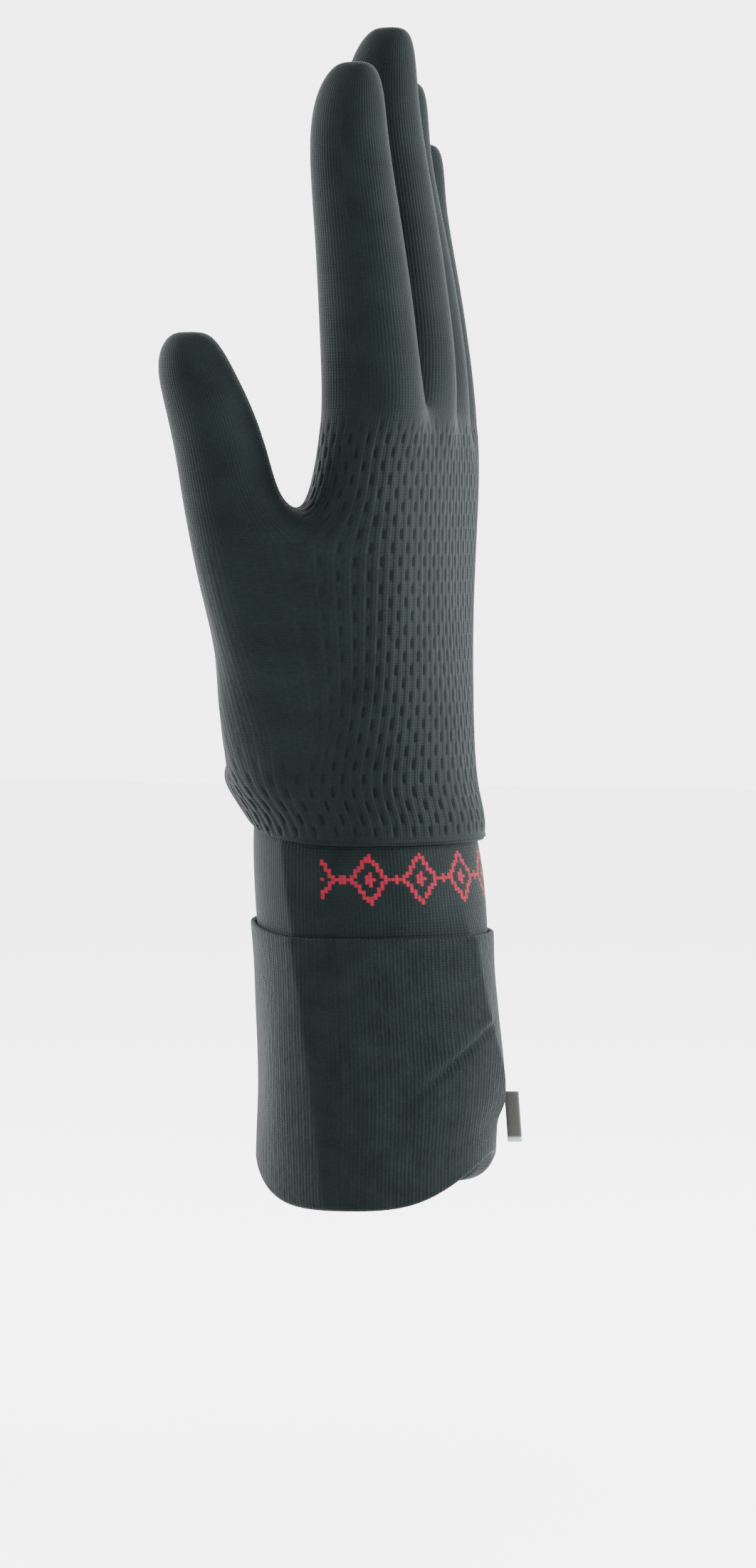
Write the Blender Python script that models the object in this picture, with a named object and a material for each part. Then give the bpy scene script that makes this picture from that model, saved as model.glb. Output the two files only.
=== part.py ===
"""A knitted silk glove for the right hand, open at the cuff and holding its worn form.

Fingers point up (+Z), the thumb side is +X and the back of the hand is +Y. The origin is the
middle of the cuff's mouth. The glove is four pieces: the hand with its fingers and thumb, the
wrist band that is tucked inside the hand's lower edge, the doubled hem turned round the band's
lower edge, and a small folded tab on the back of the hem.
"""

import math

import bmesh
import bpy
import numpy as np

# Driving dimensions, in metres.
CUFF_LENGTH = 0.0780
HEM_LENGTH = 0.0585
PALM_LENGTH = 0.0935
PALM_WIDTH = 0.0850
PALM_THICKNESS = 0.0300
WRIST_WIDTH = 0.0545
WRIST_DEPTH = 0.0486
MOUTH_WIDTH = 0.0565
MOUTH_DEPTH = 0.0492
KNUCKLE_SPACING = 0.0195
FINGER_WIDTH = 0.0186
FINGER_THICKNESS = 0.0218
INDEX_LENGTH = 0.0734
MIDDLE_LENGTH = 0.0806
RING_LENGTH = 0.0725
LITTLE_LENGTH = 0.0635
THUMB_LENGTH = 0.0452
THUMB_THICKNESS = 0.0210

# Walls, clearances and small forms, in metres.
HAND_WALL = 0.0011
BAND_WALL = 0.0010
HEM_WALL = 0.0011
CLEARANCE = 0.0003
TUCK_CLEARANCE = 0.0005
TUCK_DEPTH = 0.0045
EDGE_RISE = 0.0060
ROLL_HEIGHT = 0.0055
ROLL_SWELL = 0.0037
RIM_RISE = 0.0100
HEM_LIP = 0.0070
WEB_RISE = 0.0045
WEB_DROP = 0.0025
TAB_HEIGHT = 0.0110
TAB_REACH = 0.0032
TAB_THICKNESS = 0.0014
TAB_LIFT = 0.0120

# Angles, in degrees from the thumb side towards the back of the hand.
CUFF_TURN = 27.0
TAB_ANGLE = 101.0

# Counts of faces.
PALM_COLUMNS = 20
THUMB_ZONE = 3
THUMB_SPLIT = 5
FINGER_SIDES = 8
CUFF_SIDES = 40
CURVE_SAMPLES = 720

# The palm from the wrist line (0) to the finger roots (1). Lengths are shares: height of
# PALM_LENGTH, half_width of PALM_WIDTH, half_depth and centre of PALM_THICKNESS. thenar says
# how far the ball of the thumb has grown out of the palm.
PALM_SECTIONS = [
    # height, half_width, half_depth, centre, thenar
    (0.13, 0.362, 0.930, -0.225, 0.50),
    (0.23, 0.378, 0.800, -0.130, 0.95),
    (0.34, 0.405, 0.690, -0.045, 1.00),
    (0.46, 0.440, 0.605, 0.015, 1.00),
    (0.58, 0.470, 0.548, 0.060, 1.00),
    (0.69, 0.490, 0.515, 0.095, 1.00),
    (0.80, 0.498, 0.490, 0.130, 0.00),
    (0.905, 0.500, 0.455, 0.165, 0.00),
]
WEB_ROW = 5
SLOPE_FADE = 0.40
PALM_SQUARENESS = 2.35

# The ball of the thumb at the palm's sections: its centre across the hand as a share of
# PALM_WIDTH, its centre in depth and its radius as shares of THUMB_THICKNESS. fan says how
# far the columns have spread from the palm's outline to even steps round the thumb.
THENAR_SECTIONS = [
    # centre_x, centre_y, radius, fan
    (0.190, -0.560, 0.800, 0.00),
    (0.235, -0.650, 0.740, 0.38),
    (0.280, -0.730, 0.685, 0.70),
    (0.345, -0.810, 0.600, 0.90),
    (0.403, -0.895, 0.522, 0.98),
    (0.435, -0.975, 0.500, 1.00),
]
THENAR_PULL = 0.40

# Heights of the thumb's web above its own row, as shares of THUMB_LENGTH, and how far it
# lies from the palm towards the thumb.
THUMB_WEB_LIFT = 0.17
THUMB_WEB_SHIFT = 0.52

# The four fingers. offset counts knuckle spacings from the middle of the hand, lean is the
# sideways travel of the tip as a share of KNUCKLE_SPACING, root and tip are the centre in
# depth as shares of FINGER_THICKNESS, rise is the root's height as a share of PALM_LENGTH.
FINGERS = [
    # name, length, offset, lean, root, tip, rise, width, thickness
    ("index", INDEX_LENGTH, 1.49, 0.10, 0.300, 0.075, 1.000, 1.00, 1.00),
    ("middle", MIDDLE_LENGTH, 0.49, -0.02, 0.435, 0.135, 1.020, 1.00, 0.99),
    ("ring", RING_LENGTH, -0.50, -0.08, 0.350, 0.020, 1.000, 0.97, 0.97),
    ("little", LITTLE_LENGTH, -1.46, -0.20, 0.245, -0.020, 0.965, 0.89, 0.88),
]

# One finger from its root (0) to its tip (1): how much of its girth is left, and how far its
# centre has bent from root to tip.
FINGER_PROFILE = [
    # height, girth, bend
    (0.125, 0.975, 0.06),
    (0.300, 0.930, 0.26),
    (0.480, 0.875, 0.50),
    (0.650, 0.825, 0.80),
    (0.800, 0.770, 1.00),
    (0.922, 0.670, 0.90),
]
FINGER_CAP = (1.003, 0.400, 0.66)

# The thumb from its web (0) to its tip (1). shift_x is a share of PALM_WIDTH, shift_y of
# THUMB_THICKNESS.
THUMB_PROFILE = [
    # height, girth, shift_x, shift_y
    (0.230, 0.985, 0.458, -1.050),
    (0.440, 0.940, 0.475, -1.120),
    (0.640, 0.890, 0.492, -1.225),
    (0.810, 0.800, 0.505, -1.350),
    (0.930, 0.640, 0.512, -1.400),
]
THUMB_CAP = (1.005, 0.370, 0.515, -1.405)

# The cuff from the rim (0) to the wrist line (1). swell widens the even taper from the mouth
# to the wrist, centre is a share of MOUTH_DEPTH, and squareness is the exponent of the
# outline, where 2 is an ellipse.
CUFF_SECTIONS = [
    # height, swell, centre, squareness
    (0.00, 0.000, -0.006, 2.15),
    (0.11, 0.000, -0.004, 2.25),
    (0.23, 0.004, 0.003, 2.45),
    (0.36, 0.008, 0.003, 2.50),
    (0.50, 0.004, -0.007, 2.45),
    (0.64, 0.000, -0.018, 2.35),
    (0.82, 0.022, -0.034, 2.20),
    (0.92, 0.020, -0.045, 2.05),
    (1.00, 0.000, -0.055, 2.00),
]


def clear_scene():
    """Remove every object, so that the file holds this model alone."""
    for item in list(bpy.data.objects):
        bpy.data.objects.remove(item, do_unlink=True)


def make_material(name, colour, roughness):
    """A cloth finish: colour and roughness, with no metal."""
    material = bpy.data.materials.new(name)
    material.use_nodes = True
    shader = material.node_tree.nodes["Principled BSDF"]
    shader.inputs["Base Color"].default_value = (*colour, 1.0)
    shader.inputs["Roughness"].default_value = roughness
    shader.inputs["Metallic"].default_value = 0.0
    return material


def add_object(name, points, faces, material, smooth=True):
    """A mesh object at the origin, from points in metres and faces that name them."""
    mesh = bpy.data.meshes.new(name)
    mesh.from_pydata([tuple(point) for point in points], [], faces)
    mesh.update()
    form = bmesh.new()
    form.from_mesh(mesh)
    bmesh.ops.recalc_face_normals(form, faces=form.faces)
    form.to_mesh(mesh)
    form.free()
    if smooth:
        mesh.shade_smooth()
    item = bpy.data.objects.new(name, mesh)
    item.data.materials.append(material)
    bpy.context.scene.collection.objects.link(item)
    return item


def unit_outline(angles, squareness, turn=0.0):
    """A superellipse of unit half-width, turned by an angle, read at the given angles."""
    local = angles - math.radians(turn)
    radius = (np.abs(np.cos(local)) ** squareness
              + np.abs(np.sin(local)) ** squareness) ** (-1.0 / squareness)
    return np.stack([radius * np.cos(angles), radius * np.sin(angles)], axis=-1)


def even_outline(shares, half_width, half_depth, squareness):
    """Points at equal shares of the way round an oval, from the thumb side to the back."""
    angles = np.linspace(0.0, 2.0 * math.pi, CURVE_SAMPLES + 1)
    curve = unit_outline(angles, squareness) * (half_width, half_depth)
    steps = np.linalg.norm(np.diff(curve, axis=0), axis=1)
    travelled = np.concatenate([[0.0], np.cumsum(steps)])
    wanted = np.mod(shares, 1.0) * travelled[-1]
    return np.stack([np.interp(wanted, travelled, curve[:, axis]) for axis in (0, 1)], axis=-1)


def corner_gain(sides):
    """How far a cage of so many sides stands outside the round that it is smoothed to."""
    return 3.0 / (2.0 + math.cos(2.0 * math.pi / sides))


def edge_height(angle):
    """The wrist line's height at an angle: it rises towards the palm."""
    return CUFF_LENGTH + EDGE_RISE * max(0.0, -math.sin(angle)) ** 2


def rim_height(angle):
    """The cuff's lower edge: lowest at the two sides, highest at the palm and the back."""
    return RIM_RISE * math.sin(angle) ** 4


def wrist_section():
    """Half-width, half-depth and centre of the hand's lower edge, outside the tucked band."""
    spare = HAND_WALL + TUCK_CLEARANCE
    gain = corner_gain(PALM_COLUMNS)
    centre = CUFF_SECTIONS[-1][2] * MOUTH_DEPTH
    half_width = (WRIST_WIDTH / 2.0 + spare) * gain
    half_depth = (WRIST_DEPTH / 2.0 + spare) * gain
    return half_width, half_depth, centre


def ring_shares():
    """Shares of the way round for the palm's plain columns, the thumb side first."""
    return [column / PALM_COLUMNS for column in range(PALM_COLUMNS)]


def thumb_shares():
    """Shares of the way round for the columns that run on into the thumb."""
    span = THUMB_ZONE / PALM_COLUMNS
    return [-span * step / THUMB_SPLIT for step in range(1, THUMB_SPLIT)]


def thumb_angle(step):
    """The direction of a thumb column from the thumb's centre."""
    return math.radians(45.0 - 45.0 * step)


def oval_point(row, share):
    """A point on the palm's oval at a section, which slopes near the wrist line."""
    height, half_width, half_depth, centre, _ = PALM_SECTIONS[row]
    x, y = even_outline(np.array([share]), half_width * PALM_WIDTH,
                        half_depth * PALM_THICKNESS, PALM_SQUARENESS)[0]
    slope = (edge_height(math.atan2(y, x)) - CUFF_LENGTH) * max(0.0, 1.0 - height / SLOPE_FADE)
    return np.array([x, y + centre * PALM_THICKNESS, CUFF_LENGTH + height * PALM_LENGTH + slope])


def thenar_point(row, step, base):
    """The point on the ball of the thumb that a column's point on the palm moves to."""
    centre_x, centre_y, radius, fan = THENAR_SECTIONS[row]
    centre = np.array([centre_x * PALM_WIDTH, centre_y * THUMB_THICKNESS])
    reach = radius * THUMB_THICKNESS * corner_gain(FINGER_SIDES)
    plain = math.atan2(base[1] - centre[1], base[0] - centre[0])
    turn = math.remainder(thumb_angle(step) - plain, 2.0 * math.pi)
    angle = plain + fan * turn
    return np.array([centre[0] + reach * math.cos(angle), centre[1] + reach * math.sin(angle),
                     base[2]])


def lower_ring(points, row):
    """One ring of the palm below the thumb's web, with the thumb's columns in it."""
    thenar = PALM_SECTIONS[row][4]
    pull = thenar * THENAR_PULL * THENAR_SECTIONS[row][3]
    beside = {0: 0, PALM_COLUMNS - THUMB_ZONE: THUMB_SPLIT}
    for column, share in enumerate(ring_shares()[:PALM_COLUMNS - THUMB_ZONE + 1]):
        point = oval_point(row, share)
        if column in beside:
            point += pull * (thenar_point(row, beside[column], point) - point)
        points["palm", row, column] = point
    for step, share in enumerate(thumb_shares(), start=1):
        point = oval_point(row, share)
        point += thenar * (thenar_point(row, step, point) - point)
        points["palm", row, "thumb", step] = point


def lower_keys(row):
    """The names of a lower ring's points in order, from the thumb side round by the back."""
    keys = [("palm", row, column) for column in range(PALM_COLUMNS - THUMB_ZONE + 1)]
    keys += [("palm", row, "thumb", step) for step in range(THUMB_SPLIT - 1, 0, -1)]
    return keys


def upper_keys(row):
    """The names of an upper ring's points in the same order."""
    return [("palm", row, column) for column in range(PALM_COLUMNS)]


def edge_ring(points, name, growth, lift):
    """A ring that follows the sloping wrist line, above it, and outside it at the palm."""
    half_width, half_depth, centre = wrist_section()
    shares = dict(zip([("palm", name, column) for column in range(PALM_COLUMNS)], ring_shares()))
    shares.update({("palm", name, "thumb", step): share
                   for step, share in enumerate(thumb_shares(), start=1)})
    for key in lower_keys(name):
        x, y = even_outline(np.array([shares[key]]), half_width, half_depth, 2.0)[0]
        angle = math.atan2(y, x)
        swell = 1.0 + growth / half_depth * ((1.0 - math.sin(angle)) / 2.0) ** 2
        points[key] = np.array([x * swell, y * swell + centre, edge_height(angle) + lift])


def thumb_web(points):
    """The two points of the thumb's web, which the palm and the thumb share."""
    keys = []
    for step, column in ((7, PALM_COLUMNS - 1), (6, PALM_COLUMNS - 2)):
        palm = oval_point(WEB_ROW, column / PALM_COLUMNS)
        thumb = thenar_point(WEB_ROW, step, palm)
        point = palm + THUMB_WEB_SHIFT * (thumb - palm)
        point[2] += THUMB_WEB_LIFT * THUMB_LENGTH
        points["palm", WEB_ROW, column] = point
        keys.append(("palm", WEB_ROW, column))
    return keys


def finger_loop(finger, height, girth, bend):
    """One ring of a finger: a superellipse of eight corners round its bending centre line."""
    _, length, offset, lean, root, tip, rise, width, thickness = finger
    gain = corner_gain(FINGER_SIDES)
    centre_x = (offset + lean * height) * KNUCKLE_SPACING
    centre_y = (root + (tip - root) * bend) * FINGER_THICKNESS
    centre_z = CUFF_LENGTH + rise * PALM_LENGTH + height * length
    angles = np.arange(FINGER_SIDES) * (2.0 * math.pi / FINGER_SIDES)
    half = np.array([width * FINGER_WIDTH, thickness * FINGER_THICKNESS]) / 2.0 * girth * gain
    ring = unit_outline(angles, 2.1) * half + (centre_x, centre_y)
    return [np.array([x, y, centre_z]) for x, y in ring]


def finger_roots(points):
    """The finger roots: each loop's own points, and the web points that neighbours share."""
    loops = [finger_loop(finger, 0.0, 1.0, 0.0) for finger in FINGERS]
    last = len(FINGERS) - 1
    row = len(PALM_SECTIONS)
    for number, loop in enumerate(loops):
        first = 2 * number + 1
        points["palm", row, first + 1] = loop[2]
        points["palm", row, PALM_COLUMNS - first - 1] = loop[6]
        if number == 0:
            points["palm", row, 0] = loop[0]
            points["palm", row, 1] = loop[1]
            points["palm", row, PALM_COLUMNS - 1] = loop[7]
        if number == last:
            points["palm", row, PALM_COLUMNS // 2] = loop[4]
            points["palm", row, first + 2] = loop[3]
            points["palm", row, PALM_COLUMNS - first - 2] = loop[5]
        else:
            other = loops[number + 1]
            drop = np.array([0.0, 0.0, WEB_DROP])
            points["palm", row, first + 2] = (loop[3] + other[1]) / 2.0 - drop
            points["palm", row, PALM_COLUMNS - first - 2] = (loop[5] + other[7]) / 2.0 - drop
            rise = np.array([0.0, 0.0, WEB_RISE])
            points["web", number] = (loop[4] + other[0]) / 2.0 + rise


def root_keys(number):
    """The names of a finger's root loop, from its thumb side round by the back."""
    row = len(PALM_SECTIONS)
    first = 2 * number + 1
    thumb_side = ("palm", row, 0) if number == 0 else ("web", number - 1)
    far_side = ("web", number)
    if number == len(FINGERS) - 1:
        far_side = ("palm", row, PALM_COLUMNS // 2)
    back = [("palm", row, first + step) for step in range(3)]
    front = [("palm", row, PALM_COLUMNS - first - step) for step in (2, 1, 0)]
    return [thumb_side] + back + [far_side] + front


def join_rings(faces, low, high):
    """Quads between two closed rings of the same count."""
    count = len(low)
    for place in range(count):
        after = (place + 1) % count
        faces.append((low[place], low[after], high[after], high[place]))


def cap_loop(points, faces, name, loop, ring):
    """Close a loop of eight with a small ring and four quads round a middle point."""
    inner = []
    for place, point in enumerate(ring):
        points[name, "cap", place] = point
        inner.append((name, "cap", place))
    join_rings(faces, loop, inner)
    middle = (name, "cap", "middle")
    points[middle] = sum(ring) / len(ring)
    for place in range(0, FINGER_SIDES, 2):
        after = (place + 2) % FINGER_SIDES
        faces.append((inner[place], inner[place + 1], inner[after], middle))


def add_fingers(points, faces):
    """The four fingers, from their root loops to their closed tips."""
    finger_roots(points)
    for number, finger in enumerate(FINGERS):
        name = finger[0]
        below = root_keys(number)
        for row, (height, girth, bend) in enumerate(FINGER_PROFILE):
            keys = [(name, row, place) for place in range(FINGER_SIDES)]
            points.update(zip(keys, finger_loop(finger, height, girth, bend)))
            join_rings(faces, below, keys)
            below = keys
        cap_loop(points, faces, name, below, finger_loop(finger, *FINGER_CAP))


def thumb_loop(height, girth, shift_x, shift_y):
    """One ring of the thumb, whose corners go the way of the palm's thumb columns."""
    reach = girth * THUMB_THICKNESS / 2.0 * corner_gain(FINGER_SIDES)
    base = CUFF_LENGTH + PALM_SECTIONS[WEB_ROW][0] * PALM_LENGTH
    ring = []
    for step in range(FINGER_SIDES):
        angle = thumb_angle(step)
        ring.append(np.array([shift_x * PALM_WIDTH + reach * math.cos(angle),
                              shift_y * THUMB_THICKNESS + reach * math.sin(angle),
                              base + height * THUMB_LENGTH]))
    return ring


def add_thumb(points, faces, web):
    """The thumb, from the loop that it shares with the palm to its closed tip."""
    below = [("palm", WEB_ROW, 0)]
    below += [("palm", WEB_ROW, "thumb", step) for step in range(1, THUMB_SPLIT)]
    below += [("palm", WEB_ROW, PALM_COLUMNS - THUMB_ZONE)]
    below += [web[1], web[0]]
    for row, section in enumerate(THUMB_PROFILE):
        keys = [("thumb", row, place) for place in range(FINGER_SIDES)]
        points.update(zip(keys, thumb_loop(*section)))
        join_rings(faces, below, keys)
        below = keys
    cap_loop(points, faces, "thumb", below, thumb_loop(*THUMB_CAP))


def hand_cage():
    """The hand's whole outer skin as a coarse cage of quads, open at the wrist."""
    points = {}
    faces = []
    edge_ring(points, "edge", 0.0, 0.0)
    edge_ring(points, "roll", ROLL_SWELL, ROLL_HEIGHT)
    join_rings(faces, lower_keys("edge"), lower_keys("roll"))
    below = lower_keys("roll")
    for row in range(WEB_ROW + 1):
        lower_ring(points, row)
        join_rings(faces, below, lower_keys(row))
        below = lower_keys(row)
    web = thumb_web(points)
    below = upper_keys(WEB_ROW)
    for row in range(WEB_ROW + 1, len(PALM_SECTIONS)):
        for column, share in enumerate(ring_shares()):
            points["palm", row, column] = oval_point(row, share)
        join_rings(faces, below, upper_keys(row))
        below = upper_keys(row)
    add_fingers(points, faces)
    join_rings(faces, below, upper_keys(len(PALM_SECTIONS)))
    add_thumb(points, faces, web)
    return points, faces


def digit_of(face):
    """The digit whose tube a face belongs to, or nothing for the palm and the digits' roots."""
    names = {key[0] for key in face}
    if len(names) == 1 and "palm" not in names:
        return names.pop()
    return None


def make_shell(name, points, faces, material):
    """One open piece of the knit: its cage, smoothed once, and given its wall inwards."""
    numbers = {key: number for number, key in enumerate(points)}
    shell = add_object(name, list(points.values()),
                       [[numbers[key] for key in face] for face in faces], material)
    smooth = shell.modifiers.new("round", "SUBSURF")
    smooth.levels = 1
    smooth.render_levels = 1
    wall = shell.modifiers.new("wall", "SOLIDIFY")
    wall.thickness = HAND_WALL
    wall.offset = -1.0
    return shell


def make_hand(material):
    """The palm with the digits' roots, and each digit's tube just clear above its root."""
    points, faces = hand_cage()
    digits = {finger[0]: finger[0] + "_tube" for finger in FINGERS}
    digits["thumb"] = "thumb_tube"
    shells = []
    for digit, name in [(None, "hand_shell")] + list(digits.items()):
        own_faces = [face for face in faces if digit_of(face) == digit]
        own_points = {key: points[key] for face in own_faces for key in face}
        for key in own_points:
            if digit is not None and key[1] == 0:
                own_points[key] = own_points[key] + np.array([0.0, 0.0, CLEARANCE])
        shells.append(make_shell(name, own_points, own_faces, material))
    return shells


def cuff_ring(height, outward, low_share, angles):
    """One ring of the cuff at a height share, so far outside the band's outer face."""
    table = np.array(CUFF_SECTIONS)
    swell, centre, squareness = (np.interp(height, table[:, 0], table[:, column])
                                 for column in (1, 2, 3))
    taper = min(height, 1.0)
    width = (MOUTH_WIDTH + (WRIST_WIDTH - MOUTH_WIDTH) * taper) * (1.0 + swell)
    depth = (MOUTH_DEPTH + (WRIST_DEPTH - MOUTH_DEPTH) * taper) * (1.0 + swell)
    half_width = width / 2.0 + outward
    half_depth = depth / 2.0 + outward
    ring = unit_outline(angles, squareness, CUFF_TURN) * (half_width, half_depth)
    centre_y = centre * MOUTH_DEPTH
    rims = np.array([rim_height(angle) for angle in angles])
    edges = np.array([edge_height(angle) for angle in angles])
    sweep = low_share * rims + (edges - CUFF_LENGTH) * height ** 3
    return np.stack([ring[:, 0], ring[:, 1] + centre_y, height * CUFF_LENGTH + sweep], axis=-1)


def cuff_heights(low, high):
    """The heights between two levels at which the cuff's outline is given, with both."""
    rows = [share * CUFF_LENGTH for share, *_ in CUFF_SECTIONS]
    return [low] + [row for row in rows if low < row < high] + [high]


def turned_body(name, profile, material):
    """A closed body carried round the cuff from a closed profile of (height, outward)."""
    angles = np.arange(CUFF_SIDES) * (2.0 * math.pi / CUFF_SIDES)
    rings = []
    for height, outward in profile:
        share = height / CUFF_LENGTH
        rings.append(cuff_ring(share, outward, max(0.0, 1.0 - height / HEM_LENGTH) ** 1.5, angles))
    count = len(rings)
    faces = []
    for row in range(count):
        after = (row + 1) % count
        for place in range(CUFF_SIDES):
            beside = (place + 1) % CUFF_SIDES
            faces.append((row * CUFF_SIDES + place, row * CUFF_SIDES + beside,
                          after * CUFF_SIDES + beside, after * CUFF_SIDES + place))
    return add_object(name, np.concatenate(rings), faces, material)


def make_band(material):
    """The wrist band: one layer from inside the hem's turn to inside the hand's edge."""
    heights = cuff_heights(HEM_WALL + CLEARANCE, CUFF_LENGTH + TUCK_DEPTH)
    outer = [(height, 0.0) for height in heights]
    inner = [(height, -BAND_WALL) for height in reversed(heights)]
    return turned_body("wrist_band", outer + inner, material)


def make_hem(material):
    """The doubled hem: an outer layer, a turn round the band's edge and a short inner lip."""
    near = CLEARANCE
    far = CLEARANCE + HEM_WALL
    back = -BAND_WALL - CLEARANCE
    deep = back - HEM_WALL
    heights = cuff_heights(HEM_WALL, HEM_LENGTH)
    outer = [(height, far) for height in heights]
    inner = [(height, near) for height in reversed(heights)]
    turn = [(HEM_WALL, back), (HEM_LIP, back), (HEM_LIP, deep), (HEM_WALL, deep),
            (HEM_WALL * 0.3, back - HEM_WALL * 0.7), (0.0, back), (0.0, near),
            (HEM_WALL * 0.3, near + HEM_WALL * 0.7)]
    return turned_body("cuff_hem", outer + inner + turn, material)


def make_tab(material):
    """The small folded tab that stands out of the hem's back: a rounded strip of tape."""
    angle = math.radians(TAB_ANGLE)
    share = (TAB_LIFT + TAB_HEIGHT / 2.0) / CUFF_LENGTH
    seat = HEM_WALL + 2.0 * CLEARANCE
    base = cuff_ring(share, seat, 0.0, np.array([angle]))[0]
    outward = np.array([math.cos(angle), math.sin(angle)])
    along = np.array([-outward[1], outward[0]])
    radius = TAB_THICKNESS / 2.0
    fold = [(TAB_REACH - radius + radius * math.cos(turn), radius * math.sin(turn))
            for turn in np.linspace(-math.pi / 2.0, math.pi / 2.0, 7)]
    outline = [(0.0, -radius)] + fold + [(0.0, radius)]
    points = []
    for lift in (0.0, TAB_HEIGHT):
        for reach, side in outline:
            x, y = base[:2] + outward * reach + along * side
            points.append((x, y, TAB_LIFT + lift))
    count = len(outline)
    faces = [list(range(count))[::-1], list(range(count, 2 * count))]
    for place in range(count):
        after = (place + 1) % count
        faces.append([place, after, count + after, count + place])
    return add_object("label_tab", points, faces, material, smooth=False)


def main():
    clear_scene()
    knit = make_material("charcoal_knit", (0.020, 0.023, 0.024), 0.80)
    band = make_material("charcoal_band", (0.018, 0.020, 0.021), 0.80)
    hem = make_material("charcoal_hem", (0.020, 0.022, 0.023), 0.80)
    tape = make_material("grey_tape", (0.150, 0.140, 0.130), 0.75)
    make_hand(knit)
    make_band(band)
    make_hem(hem)
    make_tab(tape)


main()
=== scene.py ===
# %% [markdown]
# # A knitted silk glove
#
# This lesson dresses a plain construction model of a glove in its real surface: charcoal knit
# with a slotted mesh on the hand, plain fingers, a wrist band with a red knitted motif, a
# doubled hem and a small tape tab. The construction model is loaded first and never moved.
# Everything is in metres, with the fingers up (+Z), the thumb side at +X and the back of the
# hand at +Y.

# %% Load the frame
import math

import bpy
import numpy as np
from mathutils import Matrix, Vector


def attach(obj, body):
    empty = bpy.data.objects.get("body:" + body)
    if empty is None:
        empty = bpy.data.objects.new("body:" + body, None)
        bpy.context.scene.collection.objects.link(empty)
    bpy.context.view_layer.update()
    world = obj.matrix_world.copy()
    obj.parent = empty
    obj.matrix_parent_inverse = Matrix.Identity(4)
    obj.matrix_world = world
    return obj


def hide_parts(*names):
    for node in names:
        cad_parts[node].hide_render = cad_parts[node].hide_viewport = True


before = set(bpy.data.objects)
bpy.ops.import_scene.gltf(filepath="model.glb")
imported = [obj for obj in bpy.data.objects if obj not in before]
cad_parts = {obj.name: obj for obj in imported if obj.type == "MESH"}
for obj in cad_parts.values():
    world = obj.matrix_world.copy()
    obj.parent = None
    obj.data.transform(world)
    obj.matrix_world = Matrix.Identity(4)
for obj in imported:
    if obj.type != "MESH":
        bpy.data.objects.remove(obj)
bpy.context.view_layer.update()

scene = bpy.context.scene
print("construction nodes:", sorted(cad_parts))

# %% [markdown]
# ## The camera
#
# The glove was photographed from its thumb side, a little towards the back of the hand, with a
# long lens. A camera can be aimed by hand, but here it is placed by three numbers: an angle
# round the glove, a small angle above it and a distance. That keeps the view repeatable.

# %% Place the camera
VIEW_ROUND = math.radians(105.0)
VIEW_ABOVE = math.radians(2.8)
VIEW_DISTANCE = 1.2
VIEW_CENTRE = Vector((0.0, 0.0, 0.0904))
LENS = 83.92
SENSOR_HEIGHT = 24.0


def towards_camera():
    """The unit direction from the glove to the camera, from the two viewing angles."""
    level = math.cos(VIEW_ABOVE)
    return Vector((math.sin(VIEW_ROUND) * level, -math.cos(VIEW_ROUND) * level,
                   math.sin(VIEW_ABOVE)))


camera_data = bpy.data.cameras.new("camera")
camera_data.sensor_fit = "VERTICAL"
camera_data.sensor_height = SENSOR_HEIGHT
camera_data.lens = LENS
camera = bpy.data.objects.new("camera", camera_data)
camera.location = VIEW_CENTRE + towards_camera() * VIEW_DISTANCE
camera.rotation_euler = towards_camera().to_track_quat("Z", "Y").to_euler()
scene.collection.objects.link(camera)
scene.camera = camera
print("camera at", [round(value, 3) for value in camera.location])

# %% [markdown]
# ## Sizes of the glove
#
# The glove could be sculpted, but a knitted tube is simple to state: an outline at each height.
# These are the same driving sizes and section tables as the construction model's, so the cloth
# lies where the construction solids are.

# %% State the sizes
CUFF_LENGTH = 0.0780
HEM_LENGTH = 0.0585
PALM_LENGTH = 0.0935
PALM_WIDTH = 0.0850
PALM_THICKNESS = 0.0300
WRIST_WIDTH = 0.0545
WRIST_DEPTH = 0.0486
MOUTH_WIDTH = 0.0565
MOUTH_DEPTH = 0.0492
KNUCKLE_SPACING = 0.0195
FINGER_WIDTH = 0.0186
FINGER_THICKNESS = 0.0218
THUMB_LENGTH = 0.0452
THUMB_THICKNESS = 0.0210
HAND_WALL = 0.0011
BAND_WALL = 0.0010
HEM_WALL = 0.0011
CLEARANCE = 0.0003
TUCK_CLEARANCE = 0.0005
TUCK_DEPTH = 0.0045
EDGE_RISE = 0.0060
ROLL_HEIGHT = 0.0055
ROLL_SWELL = 0.0037
RIM_RISE = 0.0100
HEM_LIP = 0.0070
WEB_RISE = 0.0045
WEB_DROP = 0.0025
TAB_HEIGHT = 0.0110
TAB_REACH = 0.0032
TAB_THICKNESS = 0.0014
TAB_LIFT = 0.0120
CUFF_TURN = math.radians(27.0)
TAB_ANGLE = math.radians(101.0)
PALM_COLUMNS = 20
THUMB_ZONE = 3
THUMB_SPLIT = 5
FINGER_SIDES = 8
WEB_ROW = 5
PALM_SQUARENESS = 2.35
FINGER_SQUARENESS = 2.1
SLOPE_FADE = 0.40
THENAR_PULL = 0.40
THUMB_WEB_LIFT = 0.17
THUMB_WEB_SHIFT = 0.52

# Columns: height, half_width, half_depth, centre, thenar.
PALM_SECTIONS = np.array([
    (0.13, 0.362, 0.930, -0.225, 0.50),
    (0.23, 0.378, 0.800, -0.130, 0.95),
    (0.34, 0.405, 0.690, -0.045, 1.00),
    (0.46, 0.440, 0.605, 0.015, 1.00),
    (0.58, 0.470, 0.548, 0.060, 1.00),
    (0.69, 0.490, 0.515, 0.095, 1.00),
    (0.80, 0.498, 0.490, 0.130, 0.00),
    (0.905, 0.500, 0.455, 0.165, 0.00),
])
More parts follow.
